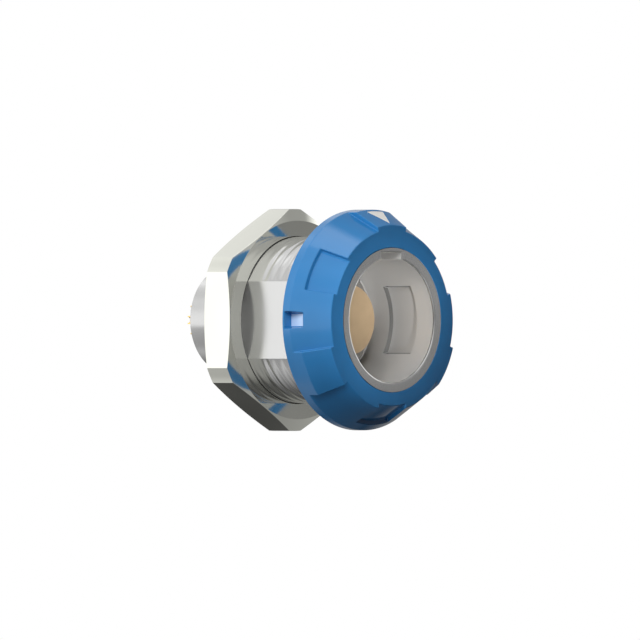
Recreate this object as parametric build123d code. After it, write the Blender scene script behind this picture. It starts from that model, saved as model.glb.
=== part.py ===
from build123d import *
import os

# Panel-mount circular connector receptacle.
# Sizes are in millimetres. Heights run along the connector's axis from the panel seat,
# the rear plane of the front ring, and grow towards the mating face.
# Radii are built up from the contacts' circle and the plug's socket by the walls between them.

# Clearances
thread_clearance = 0.05
nose_clearance = 0.05
insulator_clearance = 0.03
contact_clearance = 0.02
crown_clearance = 0.03

# Front ring
ring_length = 4.4
rim_length = 1.0
rim_wall = 2.4
face_width = 1.55
land_count = 3
land_half_angle = 13.0
land_rise = 0.4
land_setback = 2.35
pocket_half_angle = 13.0
pocket_sink = 0.4
pocket_length = 2.45
notch_outer_width = 1.6
notch_floor_width = 1.2
notch_depth = 0.95
notch_rear_wall = 0.3
notch_length = 1.75

# Alignment mark let into the top land
arrow_width = 2.05
arrow_length = 1.8
arrow_setback = 0.3
arrow_depth = 0.15

# Socket for the plug
socket_radius = 5.6
socket_depth = 9.6
mouth_chamfer = 0.18
keyway_width = 2.65
keyway_depth = 0.45
keyway_length = 6.4
window_height = 6.1
window_depth = 0.5
window_setback = 2.1
window_length = 3.35
window_round = 0.3

# Shell outside: nose, thread with two flats, tail
nose_wall = 0.95
shoulder_width = 0.95
lip_length = 1.8
thread_length = 11.2
thread_chamfer = 0.45
flat_depth = 0.85
tail_length = 4.95
tail_wall = 0.6
tail_chamfer = 0.18

# Contacts, on an outer and an inner circle
outer_contact_count = 8
outer_circle_radius = 2.05
inner_contact_count = 2
inner_circle_radius = 0.75
contact_radius = 0.37
contact_cover = 0.6
cup_wall = 0.1
cup_length = 1.9
cup_window_offset = 0.05
cup_projection = 2.5

# Insulators, and the inner step that stops them
post_wall = 1.05
post_recess = 5.0
post_gap = 0.3
stop_thickness = 0.8
core_step = 0.65
insulator_front_flange = 3.0

# Threaded retaining ring in the tail
retainer_recess = 1.6
retainer_length = 1.4
retainer_wall = 0.72
retainer_slot_width = 0.8
retainer_slot_depth = 0.6

# Earthing crown at the bottom of the socket
crown_band_length = 0.9
crown_band_thickness = 0.25
crown_length = 2.2
crown_grip = 0.45
crown_finger_thickness = 0.16
crown_finger_count = 8
crown_slot_width = 0.4

# Hex nut
nut_wall = 1.5
nut_corner_wall = 2.48
nut_thickness = 3.15
nut_chamfer_wall = 1.43
nut_chamfer_height = 0.23
panel_gap = 7.1

# Radii that follow
nose_radius = socket_radius + nose_wall
thread_radius = nose_radius + shoulder_width
flat_distance = thread_radius - flat_depth
rim_radius = thread_radius + rim_wall
cone_front_radius = nose_radius + face_width
land_front_radius = cone_front_radius + land_rise
pocket_front_radius = cone_front_radius - pocket_sink
post_radius = outer_circle_radius + post_wall
stop_radius = post_radius + post_gap
core_radius = stop_radius + core_step
tail_radius = core_radius + tail_wall
insulator_radius = core_radius - insulator_clearance

# Heights that follow
shoulder_height = ring_length - lip_length
land_rear_height = ring_length - land_setback
pocket_rear_height = ring_length - pocket_length
socket_floor_height = ring_length - socket_depth
post_face_height = ring_length - post_recess
stop_rear_height = socket_floor_height - stop_thickness
insulator_joint_height = stop_rear_height - insulator_front_flange
thread_rear_height = -thread_length
tail_rear_height = thread_rear_height - tail_length
retainer_rear_height = tail_rear_height + retainer_recess
insulator_rear_height = retainer_rear_height + retainer_length
contact_front_height = post_face_height - contact_cover
contact_rear_height = tail_rear_height - cup_projection
nut_front_height = -panel_gap

# Reach of a cutting tool past the surface that it cuts
overcut = 1.0

top_angle = 90.0
full_turn = 360.0


def turned(*outline, arc=full_turn, start=0.0):
    """Solid turned about the axis from (radius, height) points, over an arc from a start angle."""
    section = Plane.XZ * make_face(Polyline(*outline, close=True))
    return Rotation(0, 0, start) * revolve(section, Axis.Z, revolution_arc=arc)


def around(shape, count, start=0.0):
    """Copies of a shape spaced evenly about the axis."""
    step = full_turn / count
    return [Rotation(0, 0, start + k * step) * shape for k in range(count)]


def span_box(x_range, y_range, z_range):
    """Box between two values on each axis."""
    sizes = [high - low for low, high in (x_range, y_range, z_range)]
    middle = [(high + low) / 2 for low, high in (x_range, y_range, z_range)]
    return Pos(*middle) * Box(*sizes)


def cone_radius(height):
    """Radius of the ring's cone at a height."""
    share = (height - rim_length) / (ring_length - rim_length)
    return rim_radius + (cone_front_radius - rim_radius) * share


def land(raise_by=0.0):
    """Full turn of a land's outer form, raised or sunk by a small amount."""
    return turned(
        (nose_radius, land_rear_height - rim_length),
        (rim_radius + raise_by, land_rear_height - rim_length),
        (rim_radius + raise_by, land_rear_height),
        (land_front_radius + raise_by, ring_length),
        (nose_radius, ring_length),
    )


def make_arrow():
    """Triangle let into the top land, flush with it, with its tip towards the mating face."""
    tip_height = ring_length - arrow_setback
    outline = make_face(
        Polyline(
            (-arrow_width / 2, tip_height - arrow_length),
            (arrow_width / 2, tip_height - arrow_length),
            (0, tip_height),
            close=True,
        )
    )
    prism = extrude(Plane.XZ * outline, amount=-(rim_radius + overcut))
    return prism & (land() - land(-arrow_depth))


def ring_notch():
    """Drafted spanner notch, cut at angle zero."""
    floor_radius = rim_radius - notch_depth
    flank = (notch_outer_width - notch_floor_width) / 2 / notch_depth
    reach = rim_radius + overcut
    half_floor = notch_floor_width / 2
    half_reach = half_floor + flank * (reach - floor_radius)
    section = make_face(
        Polyline(
            (floor_radius, -half_floor),
            (reach, -half_reach),
            (reach, half_reach),
            (floor_radius, half_floor),
            close=True,
        )
    )
    return Pos(0, 0, notch_rear_wall) * extrude(section, amount=notch_length)


def make_front_ring():
    """Coloured ring: conical front with raised lands, sunk pockets and spanner notches."""
    bore_radius = thread_radius + thread_clearance
    lip_radius = nose_radius + nose_clearance
    ring = turned(
        (bore_radius, 0),
        (rim_radius, 0),
        (rim_radius, rim_length),
        (cone_front_radius, ring_length),
        (lip_radius, ring_length),
        (lip_radius, shoulder_height),
        (bore_radius, shoulder_height),
    )
    raised = turned(
        (bore_radius, rim_length),
        (rim_radius, rim_length),
        (rim_radius, land_rear_height),
        (land_front_radius, ring_length),
        (bore_radius, ring_length),
        arc=2 * land_half_angle,
        start=-land_half_angle,
    )
    for piece in around(raised, land_count, top_angle):
        ring += piece
    pocket_rear_radius = cone_radius(pocket_rear_height) - pocket_sink
    pocket = turned(
        (pocket_rear_radius, pocket_rear_height),
        (rim_radius + overcut, pocket_rear_height),
        (rim_radius + overcut, ring_length + overcut),
        (pocket_front_radius, ring_length + overcut),
        (pocket_front_radius, ring_length),
        arc=2 * pocket_half_angle,
        start=-pocket_half_angle,
    )
    period = full_turn / land_count
    for piece in around(pocket, land_count, top_angle + period / 2):
        ring -= piece
    for piece in around(ring_notch(), land_count, top_angle - period / 4):
        ring -= piece
    return ring - make_arrow()


def shell_windows():
    """Two latch windows sunk in the socket's left and right walls."""
    rear_height = ring_length - window_setback - window_length
    block = span_box(
        (0, socket_radius + window_depth + overcut),
        (-window_height / 2, window_height / 2),
        (rear_height, rear_height + window_length),
    )
    block = fillet(block.edges().filter_by(Axis.X), window_round)
    barrel = extrude(Circle(socket_radius + window_depth), amount=window_length)
    barrel = Pos(0, 0, rear_height) * barrel
    return around(block & barrel, 2)


def make_shell():
    """Shell, turned and milled in one piece: nose, flatted thread, tail and stepped bore."""
    shell = turned(
        (socket_radius, socket_floor_height),
        (socket_radius, ring_length),
        (nose_radius, ring_length),
        (nose_radius, shoulder_height),
        (thread_radius, shoulder_height),
        (thread_radius, thread_rear_height + thread_chamfer),
        (thread_radius - thread_chamfer, thread_rear_height),
        (tail_radius, thread_rear_height),
        (tail_radius, tail_rear_height + tail_chamfer),
        (tail_radius - tail_chamfer, tail_rear_height),
        (core_radius, tail_rear_height),
        (core_radius, stop_rear_height),
        (stop_radius, stop_rear_height),
        (stop_radius, socket_floor_height),
    )
    flat = span_box(
        (flat_distance, thread_radius + overcut),
        (-thread_radius, thread_radius),
        (thread_rear_height - overcut, shoulder_height),
    )
    for piece in around(flat, 2):
        shell -= piece
    shell -= span_box(
        (-keyway_width / 2, keyway_width / 2),
        (0, socket_radius + keyway_depth),
        (ring_length - keyway_length, ring_length + overcut),
    )
    mouth = shell.faces().sort_by(Axis.Z)[-1].inner_wires()[0].edges()
    shell = chamfer(mouth, mouth_chamfer)
    for piece in shell_windows():
        shell -= piece
    return shell


def at_contacts(shape):
    """Copies of a shape drawn at the axis, one at each contact's place."""
    outer = around(Pos(outer_circle_radius, 0, 0) * shape, outer_contact_count)
    return outer + around(Pos(inner_circle_radius, 0, 0) * shape, inner_contact_count)


def contact_bores(rear_height, front_height):
    """Bores for all contacts between two heights."""
    bore = extrude(Circle(contact_radius + contact_clearance), amount=front_height - rear_height)
    return at_contacts(Pos(0, 0, rear_height) * bore)


def make_insulator_front():
    """Front insulator: plain post in the socket, and a flange behind the shell's inner step."""
    insulator = turned(
        (0, insulator_joint_height),
        (insulator_radius, insulator_joint_height),
        (insulator_radius, stop_rear_height),
        (post_radius, stop_rear_height),
        (post_radius, post_face_height),
        (0, post_face_height),
    )
    for bore in contact_bores(insulator_joint_height - overcut, contact_front_height):
        insulator -= bore
    return insulator


def make_insulator_rear():
    """Rear insulator, bored through for the contacts."""
    insulator = turned(
        (0, insulator_rear_height),
        (insulator_radius, insulator_rear_height),
        (insulator_radius, insulator_joint_height),
        (0, insulator_joint_height),
    )
    for bore in contact_bores(insulator_rear_height - overcut, insulator_joint_height + overcut):
        insulator -= bore
    return insulator


def make_contact():
    """Contact drawn at the axis, pressed into the insulators, with an open solder cup at its rear."""
    contact = turned(
        (0, contact_rear_height + cup_length),
        (contact_radius - cup_wall, contact_rear_height + cup_length),
        (contact_radius - cup_wall, contact_rear_height),
        (contact_radius, contact_rear_height),
        (contact_radius, contact_front_height),
        (0, contact_front_height),
    )
    return contact - span_box(
        (cup_window_offset, contact_radius + overcut),
        (-contact_radius - overcut, contact_radius + overcut),
        (contact_rear_height - overcut, contact_rear_height + cup_length),
    )


def make_retaining_ring():
    """Threaded ring that clamps the insulators, with two slots for a spanner."""
    bore_radius = insulator_radius - retainer_wall
    ring = turned(
        (bore_radius, retainer_rear_height),
        (insulator_radius, retainer_rear_height),
        (insulator_radius, insulator_rear_height),
        (bore_radius, insulator_rear_height),
    )
    return ring - span_box(
        (-core_radius, core_radius),
        (-retainer_slot_width / 2, retainer_slot_width / 2),
        (retainer_rear_height - overcut, retainer_rear_height + retainer_slot_depth),
    )


def make_earthing_crown():
    """Springy crown at the socket's floor, with fingers bent in to grip the plug."""
    outer = socket_radius - crown_clearance
    band_height = socket_floor_height + crown_band_length
    tip_height = socket_floor_height + crown_length
    tip_radius = socket_radius - crown_grip
    crown = turned(
        (outer - crown_band_thickness, socket_floor_height),
        (outer, socket_floor_height),
        (outer, band_height),
        (tip_radius + crown_finger_thickness, tip_height),
        (tip_radius, tip_height),
        (outer - crown_band_thickness, band_height),
    )
    slot = span_box(
        (0, socket_radius),
        (-crown_slot_width / 2, crown_slot_width / 2),
        (band_height, tip_height + overcut),
    )
    for piece in around(slot, crown_finger_count):
        crown -= piece
    return crown


def make_hex_nut():
    """Hex nut with turned corners and both faces chamfered."""
    rear_height = nut_front_height - nut_thickness
    bore_radius = thread_radius + thread_clearance
    corner_radius = thread_radius + nut_corner_wall
    chamfer_radius = thread_radius + nut_chamfer_wall
    blank = turned(
        (bore_radius, rear_height),
        (chamfer_radius, rear_height),
        (corner_radius, rear_height + nut_chamfer_height),
        (corner_radius, nut_front_height - nut_chamfer_height),
        (chamfer_radius, nut_front_height),
        (bore_radius, nut_front_height),
    )
    hexagon = RegularPolygon(thread_radius + nut_wall, 6, major_radius=False, rotation=30)
    prism = Pos(0, 0, rear_height) * extrude(hexagon, amount=nut_thickness)
    return blank & prism


def write_part(name, shape):
    """Turns a piece so that the mating face looks along minus Y, and writes it."""
    solids = (Rotation(90, 0, 0) * shape).solids()
    export_step(solids[0] if len(solids) == 1 else Compound(solids), f"parts/{name}.step")


os.makedirs("parts", exist_ok=True)
write_part("shell", make_shell())
write_part("front_ring", make_front_ring())
write_part("arrow_mark", make_arrow())
write_part("hex_nut", make_hex_nut())
write_part("insulator_front", make_insulator_front())
write_part("insulator_rear", make_insulator_rear())
write_part("retaining_ring", make_retaining_ring())
write_part("earthing_crown", make_earthing_crown())
for number, contact in enumerate(at_contacts(make_contact()), start=1):
    write_part(f"contact_{number:02d}", contact)
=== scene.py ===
import math

import bpy
from mathutils import Matrix, Vector


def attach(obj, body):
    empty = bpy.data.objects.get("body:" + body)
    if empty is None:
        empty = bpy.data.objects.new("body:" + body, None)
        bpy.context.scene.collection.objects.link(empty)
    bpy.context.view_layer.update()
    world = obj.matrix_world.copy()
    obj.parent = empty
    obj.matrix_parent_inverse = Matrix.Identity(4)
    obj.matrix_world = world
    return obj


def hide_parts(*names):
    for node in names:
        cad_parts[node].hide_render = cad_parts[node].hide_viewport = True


# Looks for the panel-mount circular connector receptacle.
# Pieces are drawn in millimetres, with the mating face towards minus Y, and brought to metres at the end.

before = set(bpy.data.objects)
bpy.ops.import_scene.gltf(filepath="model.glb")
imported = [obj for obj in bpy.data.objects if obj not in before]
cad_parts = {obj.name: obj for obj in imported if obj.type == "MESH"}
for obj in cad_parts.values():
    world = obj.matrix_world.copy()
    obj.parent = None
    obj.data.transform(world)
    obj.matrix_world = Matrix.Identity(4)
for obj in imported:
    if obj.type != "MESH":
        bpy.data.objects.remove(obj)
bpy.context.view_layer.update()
print("stage: frame loaded, nodes", len(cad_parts))


# Camera

camera = {
    "lens": 1500.0,
    "sensor": 36.0,
    "frameWidth": 0.0575,  # what the picture shows from side to side, in metres
    "turn": 47.5,  # degrees from the connector's axis towards its left
    "aim": (0.0, 0.00439, 0.0),
    "clipEnd": 6.0,
}


def placeCamera():
    turn = math.radians(camera["turn"])
    distance = camera["frameWidth"] / camera["sensor"] * camera["lens"]
    away = Vector((-math.sin(turn), -math.cos(turn), 0)) * distance
    bpy.ops.object.camera_add(location=Vector(camera["aim"]) + away, rotation=(math.pi / 2, 0, -turn))
    eye = bpy.context.object
    eye.name = "catalogueCamera"
    eye.data.sensor_width = camera["sensor"]
    eye.data.lens = camera["lens"]
    eye.data.clip_end = camera["clipEnd"]
    bpy.context.scene.camera = eye


placeCamera()
print("stage: camera placed")


# Modelling helpers

millimetre = 0.001
roundSteps = 180
overcut = 1.0  # how far a cutter reaches past what it cuts
tolerance = 0.01  # lengths that differ by less count as equal
mergeDistance = 0.0001
sliver = 0.012  # cuts leave points closer together than this
flatAngle = 0.4  # degrees between two faces up to which they count as one
sharpAngle = 14.0  # degrees between two faces from which their edge counts as sharp
squareOn = 0.99  # least share of its normal along an axis for a face square to it
leaning = 0.9  # the same for a face that may lean a little


def clearSelection():
    if bpy.context.object and bpy.context.object.mode != "OBJECT":
        bpy.ops.object.mode_set(mode="OBJECT")
    bpy.ops.object.select_all(action="DESELECT")


def pick(piece):
    clearSelection()
    piece.select_set(True)
    bpy.context.view_layer.objects.active = piece


def startEdit(piece):
    pick(piece)
    bpy.ops.object.mode_set(mode="EDIT")
    bpy.ops.mesh.select_mode(type="VERT")
    bpy.ops.mesh.select_all(action="SELECT")


def endEdit():
    bpy.ops.object.mode_set(mode="OBJECT")


def drawOutline(name, points):
    # merges a plane into one vertex and walks it round the closed outline of (radius, height) points
    corners = [Vector((radius, -height, 0)) for radius, height in points]
    clearSelection()
    bpy.ops.mesh.primitive_plane_add(size=1, location=(0, 0, 0))
    piece = bpy.context.object
    piece.name = name
    startEdit(piece)
    bpy.ops.mesh.merge(type="CENTER")
    bpy.ops.transform.translate(value=corners[0])
    for start, end in zip(corners, corners[1:] + corners[:1]):
        bpy.ops.mesh.extrude_vertices_move(TRANSFORM_OT_translate={"value": end - start})
    bpy.ops.mesh.select_all(action="SELECT")
    bpy.ops.mesh.remove_doubles(threshold=mergeDistance)
    endEdit()
    return piece


def turnPiece(name, points, arc=360.0, middle=0.0):
    # turns an outline about the connector's axis; middle is the arc's centre seen from the front
    piece = drawOutline(name, points)
    startEdit(piece)
    whole = arc == 360.0
    if not whole:
        bpy.ops.mesh.edge_face_add()
    steps = round(roundSteps * arc / 360)
    bpy.ops.mesh.spin(steps=steps, angle=math.radians(arc), center=(0, 0, 0), axis=(0, -1, 0))
    bpy.ops.mesh.select_all(action="SELECT")
    bpy.ops.mesh.remove_doubles(threshold=mergeDistance)
    bpy.ops.mesh.normals_make_consistent(inside=False)
    endEdit()
    if not whole:
        spinMesh(piece, middle + arc / 2)  # spin works clockwise seen from the front
    return piece


def spinMesh(piece, degrees):
    # turns a piece's mesh about the axis, counter-clockwise seen from the front
    piece.data.transform(Matrix.Rotation(math.radians(degrees), 4, (0, -1, 0)))


def blockPiece(name, low, high):
    clearSelection()
    middle = [(a + b) / 2 for a, b in zip(low, high)]
    sides = [b - a for a, b in zip(low, high)]
    bpy.ops.mesh.primitive_cube_add(size=1, location=middle, scale=sides)
    piece = bpy.context.object
    piece.name = name
    bpy.ops.object.transform_apply(location=True, rotation=True, scale=True)
    return piece


def cut(piece, tool, way="DIFFERENCE"):
    pick(piece)
    step = piece.modifiers.new("cut", "BOOLEAN")
    step.operation = way
    step.solver = "EXACT"
    step.object = tool
    bpy.ops.object.modifier_apply(modifier=step.name)
    bpy.data.objects.remove(tool)


def selectEdges(piece, test):
    # opens the piece for editing with the edges selected whose two ends pass the test
    pick(piece)
    mesh = piece.data
    for group in (mesh.vertices, mesh.edges, mesh.polygons):
        group.foreach_set("select", [False] * len(group))
    for edge in mesh.edges:
        edge.select = test(*(mesh.vertices[i].co for i in edge.vertices))
    bpy.ops.object.mode_set(mode="EDIT")
    bpy.ops.mesh.select_mode(type="EDGE")


def softenEdges(piece, width, angle=sharpAngle):
    # narrow chamfers on the sharp edges, once slivers left by the cuts are merged
    startEdit(piece)
    bpy.ops.mesh.remove_doubles(threshold=sliver)
    bpy.ops.mesh.dissolve_limited(angle_limit=math.radians(flatAngle))
    endEdit()
    pick(piece)
    step = piece.modifiers.new("soften", "BEVEL")
    step.width = width
    step.segments = 1
    step.limit_method = "ANGLE"
    step.angle_limit = math.radians(angle)
    step.use_clamp_overlap = False
    bpy.ops.object.modifier_apply(modifier=step.name)


def giveFinishes(piece, names, choose):
    # choose gives the name of the finish that a face wears
    for name in names:
        piece.data.materials.append(finishes[name])
    for face in piece.data.polygons:
        face.material_index = names.index(choose(face))


def finishPiece(piece, body, slot, *nodes, smooth=sharpAngle):
    pick(piece)
    bpy.ops.object.shade_smooth_by_angle(angle=math.radians(smooth))
    piece.data.transform(Matrix.Scale(millimetre, 4))
    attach(piece, body)
    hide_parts(*nodes)
    clearSelection()
    print("piece:", piece.name, len(piece.data.polygons), "faces")


# Material helpers

noiseMiddle = (0.3, 0.7)  # most of a noise's values lie in this range


def addNode(tree, kind, **values):
    node = tree.nodes.new(kind)
    for name, value in values.items():
        if name in node.inputs:
            node.inputs[name].default_value = value
        else:
            setattr(node, name, value)
    return node


def startMaterial(name, **values):
    material = bpy.data.materials.new(name)
    material.use_nodes = True
    tree = material.node_tree
    shader = tree.nodes["Principled BSDF"]
    for socket, value in values.items():
        shader.inputs[socket].default_value = value
    return material, tree, shader


def mapRange(tree, source, low, high, fromLow=0.0, fromHigh=1.0):
    node = tree.nodes.new("ShaderNodeMapRange")
    for index, value in enumerate((fromLow, fromHigh, low, high), start=1):
        node.inputs[index].default_value = value
    tree.links.new(source, node.inputs[0])
    return node.outputs[0]


def objectNoise(tree, scale, detail, stretch=(1, 1, 1)):
    # noise on the piece's own coordinates, with scale in features per millimetre
    place = tree.nodes.new("ShaderNodeTexCoord")
    mapping = tree.nodes.new("ShaderNodeMapping")
    mapping.inputs["Scale"].default_value = [scale * s / millimetre for s in stretch]
    noise = addNode(tree, "ShaderNodeTexNoise", Scale=1.0, Detail=detail)
    tree.links.new(place.outputs["Object"], mapping.inputs["Vector"])
    tree.links.new(mapping.outputs[0], noise.inputs["Vector"])
    return noise.outputs[0]


def tintBetween(tree, shader, noise, first, second):
    ramp = tree.nodes.new("ShaderNodeValToRGB")
    ramp.color_ramp.elements[0].color = (*first, 1)
    ramp.color_ramp.elements[1].color = (*second, 1)
    tree.links.new(mapRange(tree, noise, 0, 1, *noiseMiddle), ramp.inputs[0])
    tree.links.new(ramp.outputs[0], shader.inputs["Base Color"])


def addBump(tree, shader, height, depth, strength):
    bump = addNode(tree, "ShaderNodeBump", Strength=strength, Distance=depth)
    tree.links.new(height, bump.inputs["Height"])
    tree.links.new(bump.outputs[0], shader.inputs["Normal"])


# Metal finishes, and a darker copy of the plating that paints shade on the latch windows

plating = {
    "clouds": (0.12, 1.0),  # features per millimetre, and detail
    "marks": (1.0, 2.0),
    "markStretch": (0.35, 9.0, 0.35),  # turning marks are close together along the axis
    "markBump": (0.0000012, 0.6),  # depth in metres, and strength
    "roughness": (0.06, 0.12),
}

# two tints that the clouds blend, share of metal, roughness on top of the plating's, turning marks or not
platings = {
    "shellPlating": {
        "tints": ((0.565, 0.565, 0.56), (0.625, 0.625, 0.62)), "metal": 0.88, "rough": 0.05, "marks": True,
    },
    "nutPlating": {
        "tints": ((0.80, 0.805, 0.735), (0.87, 0.875, 0.80)), "metal": 1.0, "rough": 0.0, "marks": False,
    },
    "satinPlating": {
        "tints": ((0.61, 0.61, 0.605), (0.66, 0.66, 0.655)), "metal": 0.88, "rough": 0.12, "marks": False,
    },
    "socketSatin": {
        "tints": ((0.67, 0.667, 0.655), (0.71, 0.707, 0.695)), "metal": 0.35, "rough": 0.27, "marks": False,
    },
    "nutBoreSatin": {
        "tints": ((0.80, 0.80, 0.77), (0.88, 0.88, 0.845)), "metal": 0.4, "rough": 0.3, "marks": True,
    },
    # darker copy of the plating: painted shade on the latch windows' end walls and sides
    "windowPlating": {
        "tints": ((0.34, 0.34, 0.335), (0.38, 0.38, 0.375)), "metal": 0.88, "rough": 0.15, "marks": False,
    },
    "innerPlating": {
        "tints": ((0.74, 0.73, 0.71), (0.80, 0.79, 0.77)), "metal": 0.6, "rough": 0.15, "marks": True,
    },
}


def makePlating(name, tints, metal, rough, marks):
    material, tree, shader = startMaterial(name, Metallic=metal)
    wear = objectNoise(tree, *plating["clouds"])
    tintBetween(tree, shader, wear, *tints)
    if marks:
        wear = objectNoise(tree, *plating["marks"], stretch=plating["markStretch"])
        addBump(tree, shader, wear, *plating["markBump"])
    low, high = (value + rough for value in plating["roughness"])
    tree.links.new(mapRange(tree, wear, low, high, *noiseMiddle), shader.inputs["Roughness"])
    return material


# Gold, plastic and insulator finishes, and a pale copy of the blue that paints a highlight on the ring's
# notches

# clouds and grain are features per millimetre and detail, bump is depth in metres and strength
softFinishes = {
    "contactGold": {
        "tints": ((0.86, 0.60, 0.19), (0.94, 0.70, 0.28)), "surface": {"Metallic": 1.0},
        "clouds": (1.2, 3.0), "roughness": (0.12, 0.25),
    },
    "blueFinish": {
        "tints": ((0.021, 0.182, 0.445), (0.025, 0.198, 0.48)), "surface": {"IOR": 1.5},
        "clouds": (0.25, 3.0), "roughness": (0.08, 0.15), "grain": (14.0, 2.0), "bump": (0.0000008, 0.4),
    },
    # pale copy of the blue finish: painted highlight on the floors of the ring's notches
    "notchFinish": {
        "tints": ((0.50, 0.67, 0.93), (0.54, 0.71, 0.96)), "surface": {"IOR": 1.5},
        "clouds": (0.25, 3.0), "roughness": (0.08, 0.15), "grain": (14.0, 2.0), "bump": (0.0000008, 0.4),
    },
    "seatGrey": {
        "tints": ((0.50, 0.50, 0.485), (0.55, 0.55, 0.535)), "surface": {"IOR": 1.45},
        "clouds": (0.8, 4.0), "roughness": (0.32, 0.48), "grain": (8.0, 3.0), "bump": (0.000002, 0.5),
    },
    "whiteInlay": {
        "tints": ((0.80, 0.78, 0.74), (0.86, 0.85, 0.82)), "surface": {"IOR": 1.45},
        "clouds": (0.8, 4.0), "roughness": (0.37, 0.53), "grain": (10.0, 3.0), "bump": (0.000002, 0.5),
    },
    "tanInsulator": {
        "tints": ((0.44, 0.322, 0.195), (0.475, 0.345, 0.21)), "surface": {"IOR": 1.45},
        "clouds": (0.8, 4.0), "roughness": (0.42, 0.58), "grain": (8.0, 3.0), "bump": (0.000003, 0.5),
    },
}


def makeSoft(name, tints, surface, clouds, roughness, grain=None, bump=None):
    material, tree, shader = startMaterial(name, **surface)
    noise = objectNoise(tree, *clouds)
    tintBetween(tree, shader, noise, *tints)
    if grain:
        noise = objectNoise(tree, *grain)
        addBump(tree, shader, noise, *bump)
    tree.links.new(mapRange(tree, noise, *roughness), shader.inputs["Roughness"])
    return material


finishes = {name: makePlating(name, **values) for name, values in platings.items()}
finishes.update({name: makeSoft(name, **values) for name, values in softFinishes.items()})
print("stage: materials made")


# Shell with its thread, flats, keyway and latch windows

shell = {
    "socketRadius": 5.6,
    "noseRadius": 6.47,
    "threadRadius": 7.5,
    "tailRadius": 4.65,
    "coreRadius": 4.05,
    "stopRadius": 3.4,
    "mouthHeight": 4.4,
    "shoulderHeight": 2.6,
    "floorHeight": -5.2,
    "stopHeight": -6.0,
    "threadEnd": -11.2,
    "tailEnd": -16.15,
    "threadChamfer": 0.45,
    "tailChamfer": 0.18,
    "mouthRound": 0.18,
    "flatDistance": 6.65,
    "keyChamfer": 0.15,
    "keyWidth": 2.65,
    "keyDepth": 0.45,
    "keyLength": 6.4,
    "windowHeight": 6.1,
    "windowDepth": 0.5,
    "windowFront": 2.3,
    "windowRear": -1.05,
    "windowRound": 0.08,
    "windowSplay": 0.155,  # how fast the window narrows outwards
    "windowCore": 0.2,  # hole along the cylinder that bounds a window
    "windowInside": 3.0,  # every face of a window lies further out than this
    "wallBand": 0.1,  # how far inside the socket's wall a window's side may lie
}

thread = {
    "pitch": 1.0,
    "depth": 0.036,
    "narrowing": 1.7,  # the higher, the narrower the valleys
    "runOut": 0.35,
    "pointsPerPitch": 12,
}


def threadHeights():
    # heights along the barrel at which its outline gets a point
    front, rear = shell["shoulderHeight"], shell["threadEnd"] + shell["threadChamfer"]
    count = round((front - rear) / thread["pitch"] * thread["pointsPerPitch"])
    return [front + (rear - front) * k / count for k in range(count + 1)]


def sinkThread(piece):
    # sinks the helical valleys, which run out towards the flats and at both ends of the barrel
    front, rear = shell["shoulderHeight"], shell["threadEnd"] + shell["threadChamfer"]
    edge = math.sqrt(shell["threadRadius"] ** 2 - shell["flatDistance"] ** 2)
    for point in piece.data.vertices:
        radius = math.hypot(point.co.x, point.co.z)
        if abs(radius - shell["threadRadius"]) > tolerance:
            continue
        height = -point.co.y
        turn = math.atan2(point.co.z, point.co.x) / math.tau
        valley = (1 - math.cos(math.tau * (height / thread["pitch"] - turn))) / 2
        room = min(abs(point.co.z) - edge, height - rear, front - height)
        depth = thread["depth"] * min(1, max(0, room / thread["runOut"])) * valley ** thread["narrowing"]
        point.co.x *= 1 - depth / radius
        point.co.z *= 1 - depth / radius


def windowCutter(middle):
    # rounded block kept inside a cylinder, so that the window's floor follows the socket
    s = shell
    rear, front = s["windowRear"], s["windowFront"]
    reach, half = s["socketRadius"] + s["windowDepth"], s["windowHeight"] / 2
    block = blockPiece("windowBlock", (0, -front, -half), (reach + overcut, -rear, half))
    edgeReach = math.sqrt(s["socketRadius"] ** 2 - half ** 2)
    for corner in block.data.vertices:
        corner.co.z *= 1 + s["windowSplay"] * (edgeReach - corner.co.x) / half
    selectEdges(block, lambda first, second: abs(first.x - second.x) > tolerance)
    bpy.ops.mesh.bevel(offset=s["windowRound"], segments=4)
    endEdit()
    barrel = turnPiece("windowBarrel", [
        (s["windowCore"], rear - overcut), (reach, rear - overcut),
        (reach, front + overcut), (s["windowCore"], front + overcut),
    ])
    cut(block, barrel, "INTERSECT")
    spinMesh(block, middle)
    return block


def keywayCutters():
    # the keyway's block, and a flared one that widens its mouth
    s = shell
    half, top = s["keyWidth"] / 2, s["socketRadius"] + s["keyDepth"]
    front, chamfer = s["mouthHeight"], s["keyChamfer"]
    slot = blockPiece("keySlot", (-half, -front - overcut, 0), (half, s["keyLength"] - front, top))
    flare = blockPiece("keyFlare", (-half, -front - chamfer, 0), (half, chamfer - front, top))
    for corner in flare.data.vertices:
        if corner.co.y < -front:
            corner.co.x += math.copysign(2 * chamfer, corner.co.x)
            corner.co.z += 2 * chamfer if corner.co.z > 0 else 0
    return slot, flare


def mouthOutline():
    # quarter round between the socket's wall and the face of the mouth
    points = []
    for degrees in (0, 30, 60, 90):
        turn = math.radians(degrees)
        points.append((shell["socketRadius"] + shell["mouthRound"] * (1 - math.cos(turn)),
                       shell["mouthHeight"] - shell["mouthRound"] * (1 - math.sin(turn))))
    return points


def shellFinishAndShade(face):
    s = shell
    radius, height = math.hypot(face.center.x, face.center.z), -face.center.y
    inSocket = (radius < s["socketRadius"] + s["windowDepth"] + tolerance
                and s["floorHeight"] - tolerance < height < s["mouthHeight"] - s["mouthRound"])
    if inSocket:
        # the windows' end walls and sides get the darker plating as painted shade
        windowEnd = abs(height - s["windowRear"]) < tolerance and face.normal.y < -leaning
        windowSide = (abs(face.normal.z) > leaning and abs(face.center.x) > s["windowInside"]
                      and radius > s["socketRadius"] - s["wallBand"])
        return "windowPlating" if windowEnd or windowSide else "socketSatin"
    onFlat = abs(abs(face.center.x) - s["flatDistance"]) < tolerance and abs(face.normal.x) > squareOn
    onMouth = height > s["mouthHeight"] - tolerance and face.normal.y < -squareOn
    onTail = height < s["threadEnd"]
    return "satinPlating" if onFlat or onMouth or onTail else "shellPlating"


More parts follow.
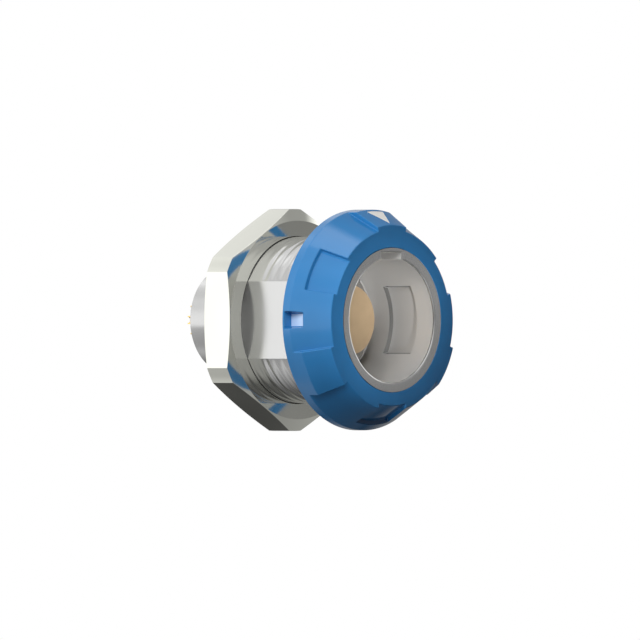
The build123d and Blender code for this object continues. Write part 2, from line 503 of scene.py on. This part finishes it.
def makeShell():
    s = shell
    piece = turnPiece("connectorShell", [
        (s["socketRadius"], s["floorHeight"]),
        *mouthOutline(),
        (s["noseRadius"], s["mouthHeight"]),
        (s["noseRadius"], s["shoulderHeight"]),
        *((s["threadRadius"], height) for height in threadHeights()),
        (s["threadRadius"] - s["threadChamfer"], s["threadEnd"]),
        (s["tailRadius"], s["threadEnd"]),
        (s["tailRadius"], s["tailEnd"] + s["tailChamfer"]),
        (s["tailRadius"] - s["tailChamfer"], s["tailEnd"]),
        (s["coreRadius"], s["tailEnd"]),
        (s["coreRadius"], s["stopHeight"]),
        (s["stopRadius"], s["stopHeight"]),
        (s["stopRadius"], s["floorHeight"]),
    ])
    sinkThread(piece)
    wide = s["threadRadius"] + overcut
    front, rear = -s["shoulderHeight"], overcut - s["threadEnd"]
    for side in (-1, 1):
        near, far = sorted((side * s["flatDistance"], side * wide))
        cut(piece, blockPiece("flat", (near, front, -wide), (far, rear, wide)))
    for cutter in keywayCutters():
        cut(piece, cutter)
    for middle in (0, 180):
        cut(piece, windowCutter(middle))
    giveFinishes(piece, ["shellPlating", "satinPlating", "socketSatin", "windowPlating"], shellFinishAndShade)
    finishPiece(piece, "receptacle", "nickel_plating", "shell")


makeShell()
print("stage: shell made")


# Coloured front ring and its arrow

ring = {
    "boreRadius": 7.55,
    "lipRadius": 6.5,
    "rimRadius": 9.9,
    "coneFront": 8.1,
    "landFront": 8.5,
    "pocketFront": 7.7,
    "length": 4.4,
    "rimLength": 1.0,
    "shoulderHeight": 2.6,
    "landRear": 2.05,
    "pocketRear": 1.95,
    "halfAngle": 13.0,  # half of a land or pocket, in degrees
    "pocketSink": 0.4,
    "notchOuter": 1.6,
    "notchFloor": 1.2,
    "notchDepth": 0.95,
    "notchRear": 0.3,
    "notchLength": 1.75,
    "seatRadius": 8.95,
    "seatStep": 0.08,
    "edgeSoftness": 0.045,
    "smoothUpTo": 10.0,  # degrees between two faces
    "floorBand": 0.12,  # how far off its radius a face of a notch's floor may lie
    "floorFacing": 0.97,  # least share of its normal straight outwards
    "floorLean": 0.1,  # most share of its normal along the axis
}

arrow = {"width": 2.05, "length": 1.8, "setback": 0.3, "bottom": 8.15, "height": 4.0}


def coneRadius(height):
    share = (height - ring["rimLength"]) / (ring["length"] - ring["rimLength"])
    return ring["rimRadius"] + (ring["coneFront"] - ring["rimRadius"]) * share


def landOutline():
    r = ring
    return [
        (r["boreRadius"], r["rimLength"]), (r["rimRadius"], r["rimLength"]),
        (r["rimRadius"], r["landRear"]), (r["landFront"], r["length"]), (r["boreRadius"], r["length"]),
    ]


def pocketCutter(middle):
    r = ring
    rear, front = r["pocketRear"], r["length"] + overcut
    reach = r["rimRadius"] + overcut
    return turnPiece("pocket", [
        (coneRadius(rear) - r["pocketSink"], rear), (reach, rear), (reach, front),
        (r["pocketFront"], front), (r["pocketFront"], r["length"]),
    ], arc=2 * r["halfAngle"], middle=middle)


def notchCutter(middle):
    # block whose inner end is narrowed, so that the notch's flanks slope
    r = ring
    floor, reach = r["rimRadius"] - r["notchDepth"], r["rimRadius"] + overcut
    flank = (r["notchOuter"] - r["notchFloor"]) / 2 / r["notchDepth"]
    half = r["notchFloor"] / 2 + flank * (reach - floor)
    rear, front = -r["notchRear"], -r["notchRear"] - r["notchLength"]
    piece = blockPiece("notch", (floor, front, -half), (reach, rear, half))
    for corner in piece.data.vertices:
        if corner.co.x < floor + tolerance:
            corner.co.z *= r["notchFloor"] / 2 / half
    spinMesh(piece, middle)
    return piece


def arrowPrism():
    # upright prism that stands over the arrow's outline
    half, tip = arrow["width"] / 2, ring["length"] - arrow["setback"]
    base = tip - arrow["length"]
    piece = drawOutline("arrowPrism", [(-half, base), (half, base), (0, tip)])
    startEdit(piece)
    bpy.ops.mesh.edge_face_add()
    bpy.ops.transform.translate(value=(0, 0, arrow["bottom"]))
    bpy.ops.mesh.extrude_region_move(TRANSFORM_OT_translate={"value": (0, 0, arrow["height"])})
    bpy.ops.mesh.select_all(action="SELECT")
    bpy.ops.mesh.normals_make_consistent(inside=False)
    endEdit()
    return piece


def ringFinishAndHighlight(face):
    r = ring
    if face.normal.y > squareOn and abs(face.center.y) < tolerance:
        return "seatGrey"
    # the floors of the notches get the pale blue as a painted highlight
    outwards = Vector((face.center.x, 0, face.center.z))
    offFloor = abs(outwards.length - (r["rimRadius"] - r["notchDepth"]))
    onFloor = (offFloor < r["floorBand"] and abs(face.normal.y) < r["floorLean"]
               and face.normal.dot(outwards.normalized()) > r["floorFacing"])
    return "notchFinish" if onFloor else "blueFinish"


def makeRing():
    r = ring
    piece = turnPiece("colouredRing", [
        (r["boreRadius"], 0), (r["seatRadius"], 0), (r["seatRadius"], r["seatStep"]),
        (r["rimRadius"], r["seatStep"]), (r["rimRadius"], r["rimLength"]),
        (r["coneFront"], r["length"]), (r["lipRadius"], r["length"]),
        (r["lipRadius"], r["shoulderHeight"]), (r["boreRadius"], r["shoulderHeight"]),
    ])
    for middle in (90, 210, 330):
        cut(piece, turnPiece("land", landOutline(), arc=2 * r["halfAngle"], middle=middle), "UNION")
    for middle in (30, 150, 270):
        cut(piece, pocketCutter(middle))
    for middle in (60, 180, 300):
        cut(piece, notchCutter(middle))
    cut(piece, arrowPrism())
    softenEdges(piece, r["edgeSoftness"])
    giveFinishes(piece, ["blueFinish", "notchFinish", "seatGrey"], ringFinishAndHighlight)
    finishPiece(piece, "coloured_ring", "blue_ring", "front_ring", smooth=r["smoothUpTo"])


def makeArrow():
    piece = turnPiece("arrowInlay", landOutline(), arc=2 * ring["halfAngle"], middle=90)
    cut(piece, arrowPrism(), "INTERSECT")
    piece.data.materials.append(finishes["whiteInlay"])
    finishPiece(piece, "coloured_ring", "white_inlay", "arrow_mark")


makeRing()
makeArrow()
print("stage: ring made")


# Hex nut

nut = {
    "boreRadius": 7.55,
    "cornerRadius": 9.98,
    "chamferRadius": 8.93,
    "chamferHeight": 0.35,
    "flatRadius": 9.0,
    "frontHeight": -7.1,
    "thickness": 3.15,
    "edgeSoftness": 0.008,
    "softenFrom": 30.0,  # degrees between two faces
    "smoothUpTo": 8.0,
    "boreLean": 0.5,  # most share of a normal along the axis for a face of the bore
}


def nutFinish(face):
    inBore = math.hypot(face.center.x, face.center.z) < nut["boreRadius"] + tolerance
    return "nutBoreSatin" if inBore and abs(face.normal.y) < nut["boreLean"] else "nutPlating"


def makeNut():
    n = nut
    front, rear = n["frontHeight"], n["frontHeight"] - n["thickness"]
    piece = turnPiece("panelNut", [
        (n["boreRadius"], rear), (n["chamferRadius"], rear),
        (n["cornerRadius"], rear + n["chamferHeight"]), (n["cornerRadius"], front - n["chamferHeight"]),
        (n["chamferRadius"], front), (n["boreRadius"], front),
    ])
    clearSelection()
    bpy.ops.mesh.primitive_cylinder_add(
        vertices=6, radius=n["flatRadius"] / math.cos(math.pi / 6), depth=n["thickness"] + 2 * overcut,
        location=(0, -(front + rear) / 2, 0), rotation=(math.pi / 2, 0, 0))
    hexagon = bpy.context.object
    bpy.ops.object.transform_apply(location=True, rotation=True, scale=True)
    cut(piece, hexagon, "INTERSECT")
    softenEdges(piece, n["edgeSoftness"], angle=n["softenFrom"])
    giveFinishes(piece, ["nutPlating", "nutBoreSatin"], nutFinish)
    finishPiece(piece, "panel_nut", "nickel_nut", "hex_nut", smooth=n["smoothUpTo"])


makeNut()
print("stage: nut made")


# Finishes of the nodes that stay as the model has them

carried = {
    "insulator_front": "tanInsulator",
    "insulator_rear": "tanInsulator",
    "retaining_ring": "innerPlating",
    "earthing_crown": "innerPlating",
}
for name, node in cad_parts.items():
    finish = "contactGold" if name.startswith("contact_") else carried.get(name)
    if finish:
        node.data.materials.clear()
        node.data.materials.append(finishes[finish])
print("stage: carried nodes finished")


# Floor, lamps and surroundings

stage = {
    "floorHeight": -0.040,
    "floorSize": 1.0,
    "floorColour": (0.90, 0.90, 0.90),
    "floorRoughness": 0.9,
    "floorGlow": 0.38,  # paleness of the floor for the camera alone
    "fill": {"level": 0.37, "slope": (-0.20, 0.61, 0.362)},  # grows to the camera's upper left
    "bounce": {"direction": (-0.446, 0.321, -0.835), "value": 0.18},  # weak light from below
    "lamps": {
        "keyLamp": {"place": (-0.038, -0.025, 0.0215), "size": 0.025, "power": 0.015},
        "rearLamp": {"place": (0.120, 0.030, 0.050), "size": 0.060, "power": 0.09},
        "socketLamp": {"place": (-0.043, -0.084, -0.031), "size": 0.008, "power": 0.41, "spread": 5.9,
                       "blend": 0.15, "aim": (0.0004, -0.003, 0.0008)},
    },
}

# brightness that shiny surfaces see from straight down to straight up, as (direction's height, value),
# and panels round a direction, whose edge is given by the cosines where it begins and ends
surroundings = {
    "brightSide": [(-1.0, 0.40), (-0.74, 0.80), (-0.64, 0.44), (-0.21, 0.60), (-0.15, 1.33), (0.15, 1.28),
                   (0.35, 1.0), (0.5, 1.06), (0.64, 0.84), (0.78, 1.1), (1.0, 1.1)],
    "darkSide": [(-1.0, 0.15), (-0.72, 0.16), (-0.64, 0.05), (-0.37, 0.36), (-0.2, 0.28), (0.0, 0.22),
                 (0.27, 0.42), (0.64, 0.27), (1.0, 0.5)],
    "brightDirection": (-0.65, 0.65, 0.39),
    "turnsBright": (-0.05, 0.30),
    "panels": [
        {"direction": (0.0, 0.0, 1.0), "edge": (0.945, 0.957), "value": 2.4},
        {"direction": (0.955, -0.26, 0.14), "edge": (0.93, 0.965), "value": 1.5},
        {"direction": (0.026, 0.675, 0.735), "edge": (0.987, 0.997), "value": 1.42},
        {"direction": (0.25, -0.675, 0.69), "edge": (0.86, 0.96), "value": 0.6},
        {"direction": (-0.26, -0.675, 0.69), "edge": (0.84, 0.95), "value": 0.98},
        {"direction": (-0.40, -0.675, -0.62), "edge": (0.86, 0.96), "value": 0.5},
        {"direction": (0.455, 0.191, 0.87), "edge": (0.92, 0.97), "value": 0.45},
        {"direction": (0.98, 0.20, 0.0), "edge": (0.93, 0.97), "value": 0.80},
        {"direction": (-0.98, 0.20, 0.0), "edge": (0.93, 0.97), "value": 0.85},
        {"direction": (0.0, 1.0, 0.0), "edge": (0.76, 0.92), "value": 0.70},
    ],
}


def makeFloor():
    clearSelection()
    bpy.ops.mesh.primitive_plane_add(size=stage["floorSize"], location=(0, 0, stage["floorHeight"]))
    floor = bpy.context.object
    floor.name = "studioFloor"
    bpy.ops.object.transform_apply(location=True, rotation=True, scale=True)
    material, tree, shader = startMaterial("floorPaper", Roughness=stage["floorRoughness"])
    shader.inputs["Base Color"].default_value = (*stage["floorColour"], 1)
    shader.inputs["Emission Color"].default_value = (1, 1, 1, 1)
    rays = tree.nodes.new("ShaderNodeLightPath")
    glow = addNode(tree, "ShaderNodeMath", operation="MULTIPLY")
    glow.inputs[1].default_value = stage["floorGlow"]
    tree.links.new(rays.outputs["Is Camera Ray"], glow.inputs[0])
    tree.links.new(glow.outputs[0], shader.inputs["Emission Strength"])
    floor.data.materials.append(material)
    floor.visible_glossy = False
    floor.visible_diffuse = False


def makeLamp(name, values):
    clearSelection()
    narrow = "spread" in values
    bpy.ops.object.light_add(type="SPOT" if narrow else "AREA", location=values["place"])
    lamp = bpy.context.object
    lamp.name = name
    if narrow:
        lamp.data.spot_size = math.radians(values["spread"])
        lamp.data.spot_blend = values["blend"]
        lamp.data.shadow_soft_size = values["size"] / 2
    else:
        lamp.data.shape = "DISK"
        lamp.data.size = values["size"]
    lamp.data.energy = values["power"]
    way = Vector(values.get("aim", (0, 0, 0))) - Vector(values["place"])
    lamp.rotation_euler = way.to_track_quat("-Z", "Y").to_euler()
    lamp.visible_glossy = False
    lamp.visible_camera = False


rampScale = 2.0  # a ramp's colours end at 1, so it holds brightness divided by this


def heightRamp(tree, height, stops):
    curve = tree.nodes.new("ShaderNodeValToRGB")
    ramp = curve.color_ramp
    while len(ramp.elements) < len(stops):
        ramp.elements.new(0.5)
    for element, (place, value) in zip(ramp.elements, stops):
        element.position = (place + 1) / 2
        element.color = (*[value / rampScale] * 3, 1)
    tree.links.new(mapRange(tree, height, 0, 1, -1, 1), curve.inputs[0])
    return curve.outputs[0]


def dotWith(tree, direction, aim):
    dot = addNode(tree, "ShaderNodeVectorMath", operation="DOT_PRODUCT")
    dot.inputs[1].default_value = aim
    tree.links.new(direction, dot.inputs[0])
    return dot.outputs["Value"]


def towards(tree, direction, aim, low, high):
    # 0 to 1 as the direction turns towards the aim
    return mapRange(tree, dotWith(tree, direction, aim), 0, 1, low, high)


def mixShaders(tree, share, first, second):
    mix = tree.nodes.new("ShaderNodeMixShader")
    for index, source in enumerate((share, first, second)):
        tree.links.new(source, mix.inputs[index])
    return mix.outputs[0]


def shinySurroundings(tree, direction):
    # what shiny surfaces see
    split = tree.nodes.new("ShaderNodeSeparateXYZ")
    tree.links.new(direction, split.inputs[0])
    mix = addNode(tree, "ShaderNodeMix", data_type="RGBA")
    bright = towards(tree, direction, surroundings["brightDirection"], *surroundings["turnsBright"])
    tree.links.new(bright, mix.inputs[0])
    tree.links.new(heightRamp(tree, split.outputs["Z"], surroundings["darkSide"]), mix.inputs[6])
    tree.links.new(heightRamp(tree, split.outputs["Z"], surroundings["brightSide"]), mix.inputs[7])
    for panel in surroundings["panels"]:
        covered = addNode(tree, "ShaderNodeMix", data_type="RGBA")
        covered.inputs[7].default_value = (*[panel["value"] / rampScale] * 3, 1)
        tree.links.new(towards(tree, direction, panel["direction"], *panel["edge"]), covered.inputs[0])
        tree.links.new(mix.outputs[2], covered.inputs[6])
        mix = covered
    background = addNode(tree, "ShaderNodeBackground", Strength=rampScale)
    tree.links.new(mix.outputs[2], background.inputs["Color"])
    return background.outputs[0]


def softFill(tree, direction):
    # what dull surfaces see
    level = addNode(tree, "ShaderNodeMath", operation="ADD", use_clamp=True)
    level.inputs[1].default_value = stage["fill"]["level"]
    tree.links.new(dotWith(tree, direction, stage["fill"]["slope"]), level.inputs[0])
    both = addNode(tree, "ShaderNodeMath", operation="MULTIPLY_ADD")
    both.inputs[1].default_value = stage["bounce"]["value"]
    tree.links.new(towards(tree, direction, stage["bounce"]["direction"], 0, 1), both.inputs[0])
    tree.links.new(level.outputs[0], both.inputs[2])
    background = addNode(tree, "ShaderNodeBackground", Color=(1, 1, 1, 1))
    tree.links.new(both.outputs[0], background.inputs["Strength"])
    return background.outputs[0]


def makeSurroundings():
    # the camera sees plain white, and shiny and dull surfaces what the two functions above give
    world = bpy.data.worlds.new("studio")
    bpy.context.scene.world = world
    world.use_nodes = True
    tree = world.node_tree
    tree.nodes.clear()
    direction = tree.nodes.new("ShaderNodeTexCoord").outputs["Generated"]
    rays = tree.nodes.new("ShaderNodeLightPath").outputs
    fill, shiny = softFill(tree, direction), shinySurroundings(tree, direction)
    reflected = mixShaders(tree, rays["Is Glossy Ray"], fill, shiny)
    seenDirect = addNode(tree, "ShaderNodeMath", operation="MAXIMUM")
    tree.links.new(rays["Is Camera Ray"], seenDirect.inputs[0])
    tree.links.new(rays["Is Transmission Ray"], seenDirect.inputs[1])
    backdrop = addNode(tree, "ShaderNodeBackground", Color=(1, 1, 1, 1), Strength=1.0)
    everything = mixShaders(tree, seenDirect.outputs[0], reflected, backdrop.outputs[0])
    out = tree.nodes.new("ShaderNodeOutputWorld")
    tree.links.new(everything, out.inputs[0])


makeFloor()
for name, values in stage["lamps"].items():
    makeLamp(name, values)
makeSurroundings()
bpy.context.scene.view_settings.view_transform = "Standard"
print("stage: floor, lamps and surroundings made")
